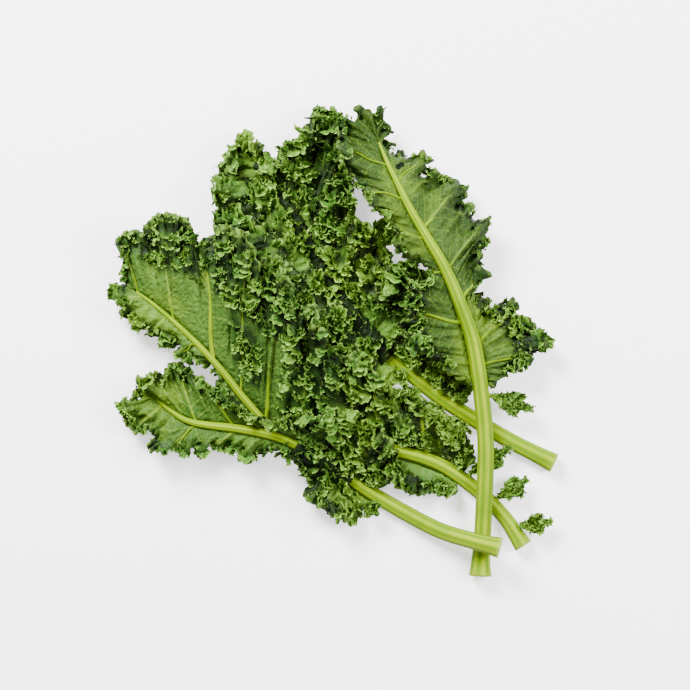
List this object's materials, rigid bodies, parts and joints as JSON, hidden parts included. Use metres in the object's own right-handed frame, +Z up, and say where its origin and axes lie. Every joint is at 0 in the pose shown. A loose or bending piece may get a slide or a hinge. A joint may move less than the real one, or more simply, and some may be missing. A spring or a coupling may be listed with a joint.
{
  "type": "kale bunch",
  "caption": "Bunch of loose curly kale leaves lying flat, each a long bare stem running on as the midrib of a wide blade with a deeply frilled margin.",
  "frame": {"origin": "centre of the bunch's bounding box, at the height of the table it lies on", "axes": "+Z up from the table, +Y from the cut ends of the stems towards the leaf tips, +X to the right seen from above"},
  "size_m": [0.3628, 0.3798, 0.0642],
  "materials": {
    "stem": "smooth, slightly glossy yellow-green plant stem",
    "blade": "soft sheen of a fresh green leaf, paler underneath"
  },
  "bodies": {
    "root": {"middle_leaf_stem": "stem", "middle_leaf_blade": "blade", "left_leaf_stem": "stem", "left_leaf_blade": "blade", "lower_leaf_stem": "stem", "lower_leaf_blade": "blade", "right_leaf_stem": "stem", "right_leaf_blade": "blade"}
  },
  "joints": []
}
